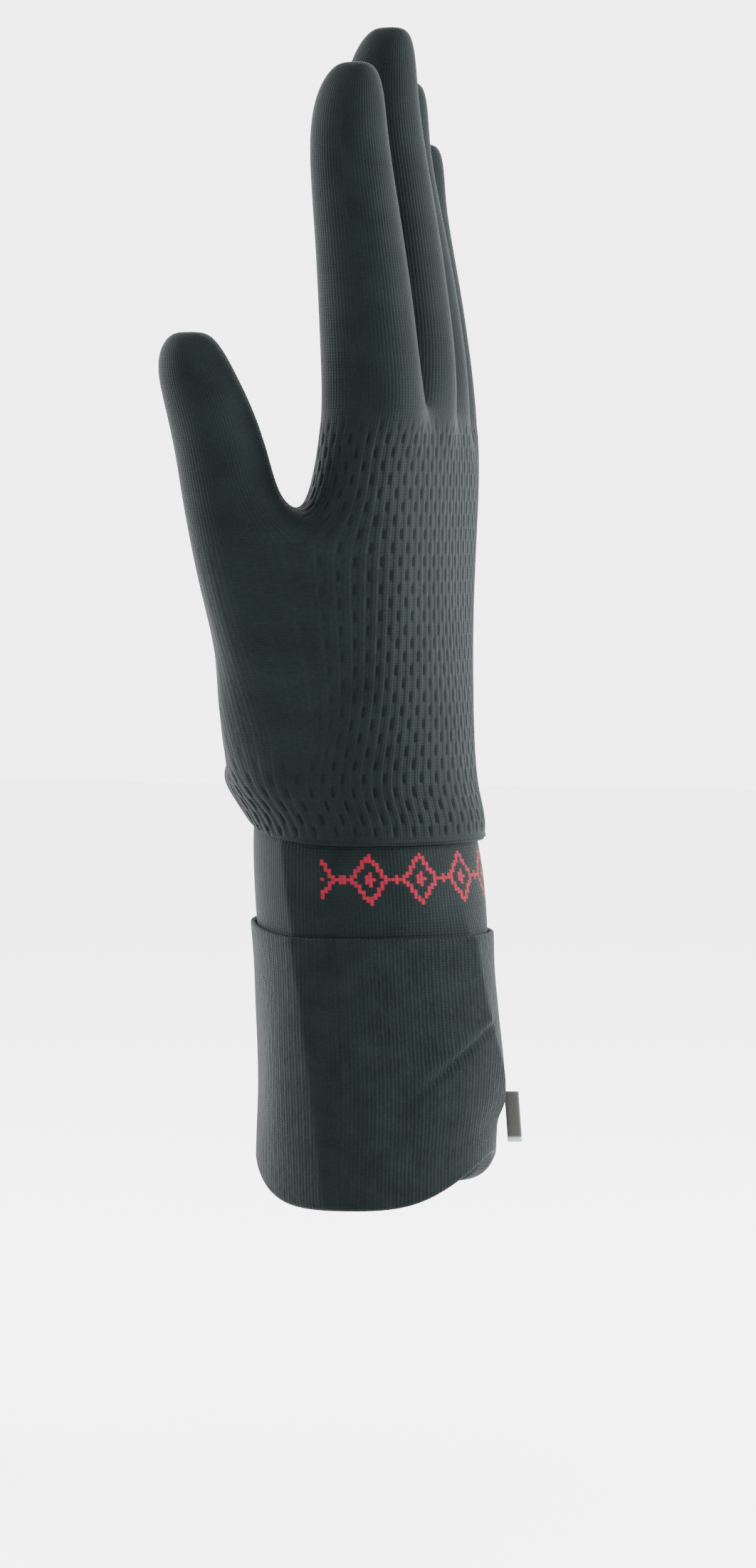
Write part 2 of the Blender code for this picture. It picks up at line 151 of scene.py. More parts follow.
# Columns: centre_x, centre_y, radius, fan.
THENAR_SECTIONS = np.array([
    (0.190, -0.560, 0.800, 0.00),
    (0.235, -0.650, 0.740, 0.38),
    (0.280, -0.730, 0.685, 0.70),
    (0.345, -0.810, 0.600, 0.90),
    (0.403, -0.895, 0.522, 0.98),
    (0.435, -0.975, 0.500, 1.00),
])
# Columns: length, offset, lean, root, tip, rise, width, thickness.
FINGERS = {
    "index": (0.0734, 1.49, 0.10, 0.300, 0.075, 1.000, 1.00, 1.00),
    "middle": (0.0806, 0.49, -0.02, 0.435, 0.135, 1.020, 1.00, 0.99),
    "ring": (0.0725, -0.50, -0.08, 0.350, 0.020, 1.000, 0.97, 0.97),
    "little": (0.0635, -1.46, -0.20, 0.245, -0.020, 0.965, 0.89, 0.88),
}
# Columns: height, girth, bend. The last row is the closed tip.
FINGER_PROFILE = [
    (0.125, 0.975, 0.06),
    (0.300, 0.930, 0.26),
    (0.480, 0.875, 0.50),
    (0.650, 0.825, 0.80),
    (0.800, 0.770, 1.00),
    (0.922, 0.670, 0.90),
    (1.003, 0.400, 0.66),
]
# Columns: height, girth, shift_x, shift_y. The last row is the closed tip.
THUMB_PROFILE = [
    (0.230, 0.985, 0.458, -1.050),
    (0.440, 0.940, 0.475, -1.120),
    (0.640, 0.890, 0.492, -1.225),
    (0.810, 0.800, 0.505, -1.350),
    (0.930, 0.640, 0.512, -1.400),
    (1.005, 0.370, 0.515, -1.405),
]
# Columns: height, swell, centre, squareness.
CUFF_SECTIONS = np.array([
    (0.00, 0.000, -0.006, 2.15),
    (0.11, 0.000, -0.004, 2.25),
    (0.23, 0.004, 0.003, 2.45),
    (0.36, 0.008, 0.003, 2.50),
    (0.50, 0.004, -0.007, 2.45),
    (0.64, 0.000, -0.018, 2.35),
    (0.82, 0.022, -0.034, 2.20),
    (0.92, 0.020, -0.045, 2.05),
    (1.00, 0.000, -0.055, 2.00),
])
print("wrist line at", CUFF_LENGTH, "m, finger roots at", round(CUFF_LENGTH + PALM_LENGTH, 4), "m")

# %% [markdown]
# ## Outlines
#
# Every ring of the glove is a superellipse: an ellipse whose exponent can be raised until it is
# nearly a rounded rectangle. The palm's columns have to be evenly spaced, as knitted ribs are,
# so one helper reads the outline at equal shares of the way round.

# %% Helpers for outlines
CURVE_SAMPLES = 720


def unit_outline(angles, squareness, turn=0.0):
    """Radius = (|cos|^n + |sin|^n)^(-1/n) of the angle less its turn, laid out as x and y."""
    local = angles - turn
    radius = (np.abs(np.cos(local)) ** squareness
              + np.abs(np.sin(local)) ** squareness) ** (-1.0 / squareness)
    return np.stack([radius * np.cos(angles), radius * np.sin(angles)], axis=-1)


def even_outline(shares, half_width, half_depth, squareness):
    """Walk once round the outline, add up the steps, and read x and y at shares of the walk."""
    angles = np.linspace(0.0, 2.0 * math.pi, CURVE_SAMPLES + 1)
    curve = unit_outline(angles, squareness) * (half_width, half_depth)
    steps = np.linalg.norm(np.diff(curve, axis=0), axis=1)
    travelled = np.concatenate([[0.0], np.cumsum(steps)])
    wanted = np.mod(shares, 1.0) * travelled[-1]
    return np.stack([np.interp(wanted, travelled, curve[:, axis]) for axis in (0, 1)], axis=-1)


def corner_gain(sides):
    """3 / (2 + cos(360 / sides)): how far a smoothed cage must stand outside its round."""
    return 3.0 / (2.0 + math.cos(2.0 * math.pi / sides))


def edge_height(angles):
    """Wrist line height: the cuff's length, and a rise times sine squared on the palm side."""
    return CUFF_LENGTH + EDGE_RISE * np.maximum(0.0, -np.sin(angles)) ** 2


def rim_height(angles):
    """Rim height: its rise times the fourth power of the sine, so both sides hang low."""
    return RIM_RISE * np.sin(angles) ** 4


print("a finger cage stands", round(corner_gain(FINGER_SIDES), 3), "times its girth out")

# %% [markdown]
# ## The hand as a cage
#
# A glove has no simple formula where four fingers and a thumb join the palm. It could be joined
# with booleans, which leave hard edges. Here it is a cage of rings instead: the palm's ring
# splits into four finger loops that share the points between them, and the thumb's loop shares
# the palm's side. Subdivision then rounds the whole skin at once, webs included.

# %% Helpers that build the cage
cage_points = []
cage_faces = []
cage_maps = []
cage_slots = []
PLAIN_KNIT = 1
MESH_KNIT = 0
COLUMN_WIDTH = 9.75


def add_ring(ring):
    """Keep a ring of points and give back their numbers in the cage."""
    start = sum(len(piece) for piece in cage_points)
    cage_points.append(np.asarray(ring, float))
    return start + np.arange(len(ring))


def join_rings(low, high, across, slot):
    """Quads between two rings, mapped by the way across in mm and the height in mm."""
    points = np.concatenate(cage_points)
    after = np.roll(np.arange(len(low)), -1)
    faces = np.stack([low, low[after], high[after], high], axis=1)
    left = across[:-1]
    right = across[1:]
    span = np.stack([left, right, right, left], axis=1)
    rise = points[faces][:, :, 2] * 1000.0
    cage_faces.append(faces)
    cage_maps.append(np.stack([span, rise], axis=-1))
    cage_slots.append(np.full(len(faces), slot))


def palm_outline(row, shares):
    """Points of the palm's oval at a section, sloped near the wrist as its edge is."""
    height, half_width, half_depth, centre, _ = PALM_SECTIONS[row]
    flat = even_outline(shares, half_width * PALM_WIDTH, half_depth * PALM_THICKNESS,
                        PALM_SQUARENESS)
    fade = max(0.0, 1.0 - height / SLOPE_FADE)
    slope = (edge_height(np.arctan2(flat[:, 1], flat[:, 0])) - CUFF_LENGTH) * fade
    level = CUFF_LENGTH + height * PALM_LENGTH + slope
    return np.stack([flat[:, 0], flat[:, 1] + centre * PALM_THICKNESS, level], axis=-1)


def thumb_ball(row, steps, base):
    """Turn each point's angle round the thumb's centre towards even steps, at full radius."""
    centre_x, centre_y, radius, fan = THENAR_SECTIONS[row]
    centre = np.array([centre_x * PALM_WIDTH, centre_y * THUMB_THICKNESS])
    reach = radius * THUMB_THICKNESS * corner_gain(FINGER_SIDES)
    plain = np.arctan2(base[:, 1] - centre[1], base[:, 0] - centre[0])
    wanted = math.radians(45.0) * (1.0 - steps)
    turn = np.mod(wanted - plain + math.pi, 2.0 * math.pi) - math.pi
    angle = plain + fan * turn
    return np.stack([centre[0] + reach * np.cos(angle), centre[1] + reach * np.sin(angle),
                     base[:, 2]], axis=-1)


PALM_SHARES = np.arange(PALM_COLUMNS) / PALM_COLUMNS
LAST_PLAIN = PALM_COLUMNS - THUMB_ZONE
THUMB_STEPS = np.arange(THUMB_SPLIT - 1, 0, -1)
THUMB_SHARES = 1.0 - THUMB_ZONE / PALM_COLUMNS * THUMB_STEPS / THUMB_SPLIT
LOWER_SHARES = np.concatenate([PALM_SHARES[:LAST_PLAIN + 1], THUMB_SHARES])
LOWER_ACROSS = np.append(LOWER_SHARES, 1.0) * PALM_COLUMNS * COLUMN_WIDTH
UPPER_ACROSS = np.append(PALM_SHARES, 1.0) * PALM_COLUMNS * COLUMN_WIDTH
print("ribs run in", PALM_COLUMNS, "columns of", COLUMN_WIDTH, "mm")

# %% [markdown]
# ### The wrist's edge and the palm
#
# The hand's lower edge blouses over the band on the palm side. The edge is rolled inwards here
# by one extra ring, so that the cloth's cut edge is out of sight as it is on the real glove.

# %% Build the palm's rings
def wrist_ring(shares, growth, lift, inset=0.0):
    """An ellipse outside the tucked band, swollen on the palm side by ((1 - sine) / 2)^2."""
    gain = corner_gain(PALM_COLUMNS)
    spare = HAND_WALL + TUCK_CLEARANCE - inset
    half_width = (WRIST_WIDTH / 2.0 + spare) * gain
    half_depth = (WRIST_DEPTH / 2.0 + spare) * gain
    flat = even_outline(shares, half_width, half_depth, 2.0)
    angles = np.arctan2(flat[:, 1], flat[:, 0])
    swell = 1.0 + growth / half_depth * ((1.0 - np.sin(angles)) / 2.0) ** 2
    centre = CUFF_SECTIONS[-1, 2] * MOUTH_DEPTH
    return np.stack([flat[:, 0] * swell, flat[:, 1] * swell + centre,
                     edge_height(angles) + lift], axis=-1)


def lower_palm(row):
    """A palm ring below the thumb's web: the thumb's columns move out onto its ball."""
    ring = palm_outline(row, LOWER_SHARES)
    thenar = PALM_SECTIONS[row, 4]
    side = np.array([0, LAST_PLAIN])
    pull = thenar * THENAR_PULL * THENAR_SECTIONS[row, 3]
    ring[side] += pull * (thumb_ball(row, np.array([0, THUMB_SPLIT]), ring[side]) - ring[side])
    ball = slice(LAST_PLAIN + 1, None)
    ring[ball] += thenar * (thumb_ball(row, THUMB_STEPS, ring[ball]) - ring[ball])
    return ring


HIDDEN_LIFT = 0.0022
below = add_ring(wrist_ring(LOWER_SHARES, 0.0, HIDDEN_LIFT, HAND_WALL * 0.9))
for ring in [wrist_ring(LOWER_SHARES, 0.0, 0.0, HAND_WALL * 0.5),
             wrist_ring(LOWER_SHARES, 0.0, 0.0006),
             wrist_ring(LOWER_SHARES, ROLL_SWELL, ROLL_HEIGHT)]:
    above = add_ring(ring)
    join_rings(below, above, LOWER_ACROSS, MESH_KNIT)
    below = above
for row in range(WEB_ROW + 1):
    above = add_ring(lower_palm(row))
    join_rings(below, above, LOWER_ACROSS, MESH_KNIT)
    below = above
thumb_columns = below[LAST_PLAIN + 1:]

palm_side = palm_outline(WEB_ROW, PALM_SHARES[LAST_PLAIN + 1:])
thumb_side = thumb_ball(WEB_ROW, np.array([6, 7]), palm_side)
web_points = palm_side + THUMB_WEB_SHIFT * (thumb_side - palm_side)
web_points[:, 2] += THUMB_WEB_LIFT * THUMB_LENGTH
thumb_web = add_ring(web_points)
thumb_root = np.concatenate([thumb_web[::-1], below[LAST_PLAIN:LAST_PLAIN + 1], thumb_columns,
                             below[:1]])
below = np.concatenate([below[:LAST_PLAIN + 1], thumb_web])
for row in range(WEB_ROW + 1, len(PALM_SECTIONS)):
    above = add_ring(palm_outline(row, PALM_SHARES))
    join_rings(below, above, UPPER_ACROSS, MESH_KNIT)
    below = above
print("palm cage points:", sum(len(piece) for piece in cage_points))

# %% [markdown]
# ### Fingers and thumb
#
# Each finger is a row of eight-sided rings along a slightly bent line. Neighbouring fingers
# share the two corner points between them and one web point, which is lifted to make the crotch.

# %% Build the finger loops
LOOP_ANGLES = np.arange(FINGER_SIDES) * (2.0 * math.pi / FINGER_SIDES)


def finger_ring(finger, height, girth, bend):
    """An eight-cornered superellipse round a centre that leans and bends with height."""
    length, offset, lean, root, tip, rise, width, thickness = finger
    centre = np.array([(offset + lean * height) * KNUCKLE_SPACING,
                       (root + (tip - root) * bend) * FINGER_THICKNESS])
    half = np.array([width * FINGER_WIDTH, thickness * FINGER_THICKNESS]) / 2.0
    flat = unit_outline(LOOP_ANGLES, FINGER_SQUARENESS) * half * girth * corner_gain(FINGER_SIDES)
    level = np.full(FINGER_SIDES, CUFF_LENGTH + rise * PALM_LENGTH + height * length)
    return np.column_stack([flat + centre, level])


def close_tip(loop, ring, across):
    """Join a loop to its small last ring, and fill that with four quads round its middle."""
    inner = add_ring(ring)
    join_rings(loop, inner, across, PLAIN_KNIT)
    middle = add_ring(ring.mean(axis=0)[None, :])[0]
    corners = np.arange(0, FINGER_SIDES, 2)
    faces = np.stack([inner[corners], inner[corners + 1], inner[(corners + 2) % FINGER_SIDES],
                      np.full(4, middle)], axis=1)
    points = np.concatenate(cage_points)[faces]
    cage_faces.append(faces)
    cage_maps.append(points[:, :, :2] * 1000.0)
    cage_slots.append(np.full(4, PLAIN_KNIT))


def grow_tube(loop, rings, across):
    """Carry a loop through rings one after another, and close it on the last."""
    for ring in rings[:-1]:
        above = add_ring(ring)
        join_rings(loop, above, across, PLAIN_KNIT)
        loop = above
    close_tip(loop, rings[-1], across)


roots = np.array([finger_ring(finger, 0.0, 1.0, 0.0) for finger in FINGERS.values()])
last = len(FINGERS) - 1
drop = np.array([0.0, 0.0, WEB_DROP])
back_web = (roots[:-1, 3] + roots[1:, 1]) / 2.0 - drop
front_web = (roots[:-1, 5] + roots[1:, 7]) / 2.0 - drop
crotch = (roots[:-1, 4] + roots[1:, 0]) / 2.0 + np.array([0.0, 0.0, WEB_RISE])
root_ring = np.zeros((PALM_COLUMNS, 3))
root_ring[0] = roots[0, 0]
root_ring[1] = roots[0, 1]
root_ring[2:PALM_COLUMNS // 2:2] = roots[:, 2]
root_ring[3:PALM_COLUMNS // 2 - 1:2] = back_web
root_ring[PALM_COLUMNS // 2 - 1] = roots[last, 3]
root_ring[PALM_COLUMNS // 2] = roots[last, 4]
root_ring[PALM_COLUMNS // 2 + 1] = roots[last, 5]
root_ring[PALM_COLUMNS - 2:PALM_COLUMNS // 2:-2] = roots[:, 6]
root_ring[PALM_COLUMNS - 3:PALM_COLUMNS // 2 + 1:-2] = front_web
root_ring[PALM_COLUMNS - 1] = roots[0, 7]
root_ids = add_ring(root_ring)
join_rings(below, root_ids, UPPER_ACROSS, MESH_KNIT)
crotch_ids = add_ring(crotch)

for number, (name, finger) in enumerate(FINGERS.items()):
    first = 2 * number + 1
    near = root_ids[0] if number == 0 else crotch_ids[number - 1]
    far = root_ids[PALM_COLUMNS // 2] if number == last else crotch_ids[number]
    front = root_ids[PALM_COLUMNS - first - np.array([2, 1, 0])]
    loop = np.concatenate([[near], root_ids[first:first + 3], [far], front])
    girth = math.pi * (finger[6] * FINGER_WIDTH + finger[7] * FINGER_THICKNESS) * 500.0
    across = np.arange(FINGER_SIDES + 1) * girth / FINGER_SIDES
    grow_tube(loop, [finger_ring(finger, *section) for section in FINGER_PROFILE], across)


def thumb_ring(height, girth, shift_x, shift_y):
    """A round ring whose corners go the way of the palm's thumb columns."""
    angle = math.radians(45.0) * (1.0 - np.arange(FINGER_SIDES - 1, -1, -1))
    reach = girth * THUMB_THICKNESS / 2.0 * corner_gain(FINGER_SIDES)
    level = CUFF_LENGTH + PALM_SECTIONS[WEB_ROW, 0] * PALM_LENGTH + height * THUMB_LENGTH
    return np.stack([shift_x * PALM_WIDTH + reach * np.cos(angle),
                     shift_y * THUMB_THICKNESS + reach * np.sin(angle),
                     np.full(FINGER_SIDES, level)], axis=-1)


thumb_across = np.arange(FINGER_SIDES + 1) * math.pi * THUMB_THICKNESS * 1000.0 / FINGER_SIDES
grow_tube(thumb_root, [thumb_ring(*section) for section in THUMB_PROFILE], thumb_across)
print("cage faces:", sum(len(piece) for piece in cage_faces))

# %% [markdown]
# ## From cage to cloth
#
# Subdivision four times turns each cage face into 256, fine enough to carry the knitted relief
# in the mesh itself. The result is read back as arrays, so that the relief can be added to all
# points at once.

# %% Helpers for meshes
def shade_smooth(mesh):
    """Shade the whole mesh smooth."""
    mesh.polygons.foreach_set("use_smooth", np.ones(len(mesh.polygons), bool))
    mesh.update()


def mesh_from_arrays(name, points, faces, maps):
    """A mesh of quads with a UV map, filled from whole arrays."""
    mesh = bpy.data.meshes.new(name)
    mesh.vertices.add(len(points))
    mesh.vertices.foreach_set("co", np.asarray(points, np.float32).ravel())
    mesh.loops.add(faces.size)
    mesh.loops.foreach_set("vertex_index", faces.astype(np.int32).ravel())
    mesh.polygons.add(len(faces))
    mesh.polygons.foreach_set("loop_start", np.arange(len(faces), dtype=np.int32) * 4)
    mesh.update(calc_edges=True)
    layer = mesh.uv_layers.new(name="knit")
    layer.uv.foreach_set("vector", np.asarray(maps, np.float32).ravel())
    shade_smooth(mesh)
    return mesh


def read_arrays(mesh):
    """Points, normals, quads, loop UVs and face slots of a mesh, as arrays."""
    points = np.empty(len(mesh.vertices) * 3, np.float32)
    mesh.vertices.foreach_get("co", points)
    normals = np.empty(len(mesh.vertices) * 3, np.float32)
    mesh.vertices.foreach_get("normal", normals)
    corners = np.empty(len(mesh.loops), np.int32)
    mesh.loops.foreach_get("vertex_index", corners)
    maps = np.empty(len(mesh.loops) * 2, np.float32)
    mesh.uv_layers[0].uv.foreach_get("vector", maps)
    slots = np.empty(len(mesh.polygons), np.int32)
    mesh.polygons.foreach_get("material_index", slots)
    return (points.reshape(-1, 3).astype(float), normals.reshape(-1, 3).astype(float),
            corners.reshape(-1, 4), maps.reshape(-1, 4, 2).astype(float), slots)


def smoothed_cage(levels):
    """The cage, rounded by so many subdivisions and read back as arrays."""
    mesh = mesh_from_arrays("cage", np.concatenate(cage_points), np.concatenate(cage_faces),
                            np.concatenate(cage_maps))
    mesh.materials.append(None)
    mesh.materials.append(None)
    mesh.polygons.foreach_set("material_index", np.concatenate(cage_slots).astype(np.int32))
    holder = bpy.data.objects.new("cage", mesh)
    scene.collection.objects.link(holder)
    rounding = holder.modifiers.new("round", "SUBSURF")
    rounding.levels = levels
    rounding.render_levels = levels
    depsgraph = bpy.context.evaluated_depsgraph_get()
    rounded = bpy.data.meshes.new_from_object(holder.evaluated_get(depsgraph))
    arrays = read_arrays(rounded)
    bpy.data.objects.remove(holder)
    bpy.data.meshes.remove(rounded)
    return arrays


def part_of_skin(name, wanted):
    """A mesh of the wanted faces only, shaded with the whole skin's normals and its relief."""
    kept = faces[wanted]
    used, renumbered = np.unique(kept, return_inverse=True)
    mesh = mesh_from_arrays(name, points[used], renumbered.reshape(kept.shape), maps[wanted])
    mesh.normals_split_custom_set_from_vertices(whole_normals[used])
    share = mesh.attributes.new("mesh_share", "FLOAT", "POINT")
    share.data.foreach_set("value", strength[used].astype(np.float32))
    return mesh


def add_piece(name, mesh, material=None):
    """Put a finished mesh in the scene as an object at the origin."""
    piece = bpy.data.objects.new(name, mesh)
    scene.collection.objects.link(piece)
    if material is not None:
        piece.data.materials.append(material)
    return piece


FINE_LEVELS = 4
points, normals, faces, maps, slots = smoothed_cage(FINE_LEVELS)
print("fine skin:", len(points), "points,", len(faces), "faces")

# %% [markdown]
# ### The slotted mesh
#
# The hand is knitted with tuck stitches: fine upright ribs, and between them short slots that
# are staggered from one valley to the next. It could be painted on as bump alone, but then the
# outline would stay smooth. Here each rib is a wave across the columns, and each slot is a
# deeper dip in a valley.

# %% Raise the ribs and sink the slots
RIBS_PER_COLUMN = 4
SLOT_PITCH = 5.8
SLOT_SHARE = 0.40
RIB_RELIEF = 0.00011
SLOT_RELIEF = 0.00030
FADE_LENGTH = 3.0
THUMB_PALM_FADE = (-4.4, -2.8)
THUMB_BACK_FADE = (-0.6, 0.9)
THUMB_CALM = 0.85


def smooth_step(low, high, value):
    """0 below low, 1 above high and 3t^2 - 2t^3 between."""
    t = np.clip((value - low) / (high - low), 0.0, 1.0)
    return t * t * (3.0 - 2.0 * t)


def mesh_relief(across, height):
    """Cosine ribs, plus dips where a staggered cosine up the valley passes its threshold."""
    phase = across / COLUMN_WIDTH * RIBS_PER_COLUMN
    rib = np.cos(2.0 * math.pi * phase)
    valley = np.clip(-rib, 0.0, 1.0) ** 2
    stagger = np.mod(np.floor(phase), 2.0) * 0.5
    wave = np.cos(2.0 * math.pi * (height / SLOT_PITCH + stagger))
    slot = smooth_step(math.cos(math.pi * SLOT_SHARE) - 0.25, 0.75, wave)
    return RIB_RELIEF * rib - SLOT_RELIEF * valley * slot


across = np.zeros(len(points))
height = np.zeros(len(points))
across[faces.ravel()] = maps.reshape(-1, 2)[:, 0]
height[faces.ravel()] = maps.reshape(-1, 2)[:, 1]
column = across / COLUMN_WIDTH
in_mesh = np.zeros(len(points))
in_mesh[faces[slots == MESH_KNIT].ravel()] = 1.0
in_mesh[faces[slots == PLAIN_KNIT].ravel()] = 0.0
wrist_mm = CUFF_LENGTH * 1000.0
root_mm = (CUFF_LENGTH + PALM_LENGTH) * 1000.0
fade = smooth_step(wrist_mm + 1.0, wrist_mm + 1.0 + FADE_LENGTH, height)
fade *= 1.0 - smooth_step(root_mm - 6.0, root_mm - 1.0, height)
# Columns counted from the thumb side, where the knit is plainer, both ways round.
aside = np.mod(column + PALM_COLUMNS / 2.0, PALM_COLUMNS) - PALM_COLUMNS / 2.0
web_mm = (CUFF_LENGTH + PALM_SECTIONS[WEB_ROW, 0] * PALM_LENGTH) * 1000.0
near_thumb = smooth_step(*THUMB_PALM_FADE, aside) * (1.0 - smooth_step(*THUMB_BACK_FADE, aside))
near_thumb *= smooth_step(wrist_mm + 2.0, wrist_mm + 26.0, height)
near_thumb *= 1.0 - smooth_step(web_mm + 1.0, web_mm + 13.0, height)
strength = in_mesh * fade * (1.0 - THUMB_CALM * near_thumb)
points += normals * (mesh_relief(across, height) * strength)[:, None]
whole_skin = mesh_from_arrays("whole_skin", points, faces, maps)
whole_normals = read_arrays(whole_skin)[1]
hand_mesh = part_of_skin("hand_knit", slots == MESH_KNIT)
finger_mesh = part_of_skin("finger_knit", slots == PLAIN_KNIT)
bpy.data.meshes.remove(whole_skin)
print("hand_knit:", len(hand_mesh.polygons), "faces; finger_knit:", len(finger_mesh.polygons))

# %% [markdown]
# ### The inside of the hand
#
# Through the cuff one sees the cloth's inner face. It is a second, coarser skin, one wall
# inside the first, made from the same cage.

# %% Make the inner skin
INNER_LEVELS = 2
INNER_STEP = 0.0009
inner_points, inner_normals, inner_faces, inner_maps, _ = smoothed_cage(INNER_LEVELS)
inner_points = inner_points - inner_normals * INNER_STEP
inner_mesh = mesh_from_arrays("hand_inside", inner_points, inner_faces[:, ::-1],
                              inner_maps[:, ::-1])
print("hand_inside:", len(inner_mesh.polygons), "faces")

# %% [markdown]
# ## The cuff
#
# The cuff is a band of plain knit with a doubled hem over its lower part. Both are profiles
# carried round the wrist: a closed line of heights and distances outwards, swept through every
# angle. Worn, the cuff has two long soft creases that part the lit sides from the face turned
# to the viewer, and a slanting pull in the hem, so these are added as ridges to the distance.

# %% Helpers for the cuff
CUFF_SIDES = 400


def table_curve(shares, column):
    """A cuff table column read smoothly: a cubic through the rows by their slopes."""
    knots = CUFF_SECTIONS[:, 0]
    values = CUFF_SECTIONS[:, column]
    slopes = np.gradient(values, knots)
    place = np.clip(np.searchsorted(knots, shares, side="right") - 1, 0, len(knots) - 2)
    width = knots[place + 1] - knots[place]
    t = np.clip((shares - knots[place]) / width, 0.0, 1.0)
    return ((2 * t**3 - 3 * t**2 + 1) * values[place] + (t**3 - 2 * t**2 + t) * width * slopes[place]
            + (3 * t**2 - 2 * t**3) * values[place + 1] + (t**3 - t**2) * width * slopes[place + 1])


def crease(angles, heights, track, sharpness, reach):
    """A ridge that falls off with distance from a line of angle over height, in metres."""
    line = np.radians(np.interp(heights, track[0], track[1]))
    away = np.abs(np.mod(angles - line + math.pi, 2.0 * math.pi) - math.pi) * MOUTH_DEPTH / 2.0
    soft = np.sqrt(away**2 + sharpness**2) - sharpness
    fade_in = smooth_step(track[0][0] - 0.004, track[0][0] + 0.004, heights)
    fade_out = 1.0 - smooth_step(track[0][-1] - 0.004, track[0][-1] + 0.006, heights)
    return np.exp(-soft / reach) * fade_in * fade_out


# Each track: heights in metres, then angles in degrees.
PALM_CREASE = (np.array([0.000, 0.028, 0.043, 0.055, 0.082]),
               np.array([-6.0, -12.6, -16.0, -20.0, -29.0]))
BACK_CREASE = (np.array([0.012, 0.022, 0.034, 0.044, 0.060]),
               np.array([95.0, 88.0, 77.0, 72.0, 67.0]))
CREASE_RISE = 0.00170
CREASE_EDGE = 0.0005
PALM_CREASE_REACH = 0.0060
BACK_CREASE_REACH = 0.0045
BACK_CREASE_SHARE = 0.8
PULL_START = np.array([math.radians(78.0), 0.037])
PULL_END = np.array([math.radians(33.0), 0.024])
PULL_DEPTH = 0.00065
WAVE_RISE = 0.00022


def cloth_folds(angles, heights):
    """The two long creases, the slanting pull in the hem and a slow waviness, added up."""
    ridge = crease(angles, heights, PALM_CREASE, CREASE_EDGE, PALM_CREASE_REACH)
    ridge = ridge + BACK_CREASE_SHARE * crease(angles, heights, BACK_CREASE, CREASE_EDGE,
                                               BACK_CREASE_REACH)
    scale = MOUTH_DEPTH / 2.0
    line = (PULL_END - PULL_START) * (scale, 1.0)
    from_start = np.broadcast_arrays((angles - PULL_START[0]) * scale, heights - PULL_START[1])
    offset = np.stack(from_start, axis=-1)
    along = offset @ line / (line @ line)
    across_line = (offset[..., 0] * line[1] - offset[..., 1] * line[0]) / np.linalg.norm(line)
    inside = smooth_step(-0.12, 0.15, along) * (1.0 - smooth_step(0.7, 1.15, along))
    pull = inside * (np.exp(-(across_line / 0.0011) ** 2)
                     - 0.6 * np.exp(-((across_line - 0.0024) / 0.0015) ** 2))
    slow = np.sin(3.0 * angles + 70.0 * heights) + np.sin(5.0 * angles - 120.0 * heights + 1.3)
    return CREASE_RISE * ridge - PULL_DEPTH * pull + WAVE_RISE * slow * 0.5


def cuff_surface(heights, outward, angles):
    """Taper from mouth to wrist, swell it by the table, add folds, and lift by rim and edge."""
    heights = heights[:, None]
    outward = outward[:, None]
    angles = angles[None, :]
    shares = heights / CUFF_LENGTH
    swell = 1.0 + table_curve(shares, 1)
    squareness = table_curve(np.minimum(shares, 1.0), 3)
    taper = np.minimum(shares, 1.0)
    folds = cloth_folds(angles, heights) * np.clip((CUFF_LENGTH + TUCK_DEPTH - heights) / 0.006, 0, 1)
    half_width = (MOUTH_WIDTH + (WRIST_WIDTH - MOUTH_WIDTH) * taper) * swell / 2.0 + outward + folds
    half_depth = (MOUTH_DEPTH + (WRIST_DEPTH - MOUTH_DEPTH) * taper) * swell / 2.0 + outward + folds
    flat = unit_outline(angles + 0.0 * heights, squareness, CUFF_TURN)
    low = np.maximum(0.0, 1.0 - heights / HEM_LENGTH) ** 1.5
    lift = low * rim_height(angles) + (edge_height(angles) - CUFF_LENGTH) * shares**3
    centre = table_curve(shares, 2) * MOUTH_DEPTH
    return np.stack([flat[..., 0] * half_width, flat[..., 1] * half_depth + centre,
                     heights + lift], axis=-1)


def sweep_profile(name, heights, outward):
    """Carry a closed profile round the cuff; the map is the way round and up, in mm."""
    angles = np.arange(CUFF_SIDES) * (2.0 * math.pi / CUFF_SIDES)
    grid = cuff_surface(heights, outward, angles)
    rows = len(heights)
    number = np.arange(rows * CUFF_SIDES).reshape(rows, CUFF_SIDES)
    up = np.roll(number, -1, axis=0)
    quads = np.stack([number, np.roll(number, -1, axis=1), np.roll(up, -1, axis=1), up], axis=-1)
    girth = 1000.0 * math.pi * (MOUTH_WIDTH + MOUTH_DEPTH) / 2.0
    left = np.arange(CUFF_SIDES) / CUFF_SIDES * girth
    left = np.broadcast_to(left, (rows, CUFF_SIDES))
    right = left + girth / CUFF_SIDES
    low = np.broadcast_to(heights[:, None] * 1000.0, (rows, CUFF_SIDES))
    high = np.roll(low, -1, axis=0)
    spread = np.stack([np.stack([left, low], -1), np.stack([right, low], -1),
                       np.stack([right, high], -1), np.stack([left, high], -1)], axis=2)
    return mesh_from_arrays(name, grid.reshape(-1, 3), quads.reshape(-1, 4),
                            spread.reshape(-1, 4, 2))


print("creases run up", len(PALM_CREASE[0]), "and", len(BACK_CREASE[0]), "stations")

# %% [markdown]
# ### Sweeping the band and the hem
#
# The band is a single layer and the hem a folded one, turned up round the band's lower edge. Both
# could be thickened sheets, but a closed profile lets the hem's fold have its own rounding.

# %% Sweep the band and the hem
BAND_ROWS = 110
HEM_ROWS = 96
band_low = HEM_WALL + CLEARANCE
band_high = CUFF_LENGTH + TUCK_DEPTH
band_outer = np.linspace(band_low, band_high, BAND_ROWS)
band_inner = np.linspace(band_high - 0.0002, band_low + 0.0002, BAND_ROWS // 4)
band_mesh = sweep_profile("band_knit", np.concatenate([band_outer, band_inner]),
                          np.concatenate([np.zeros(BAND_ROWS),
                                          np.full(len(band_inner), -BAND_WALL)]))

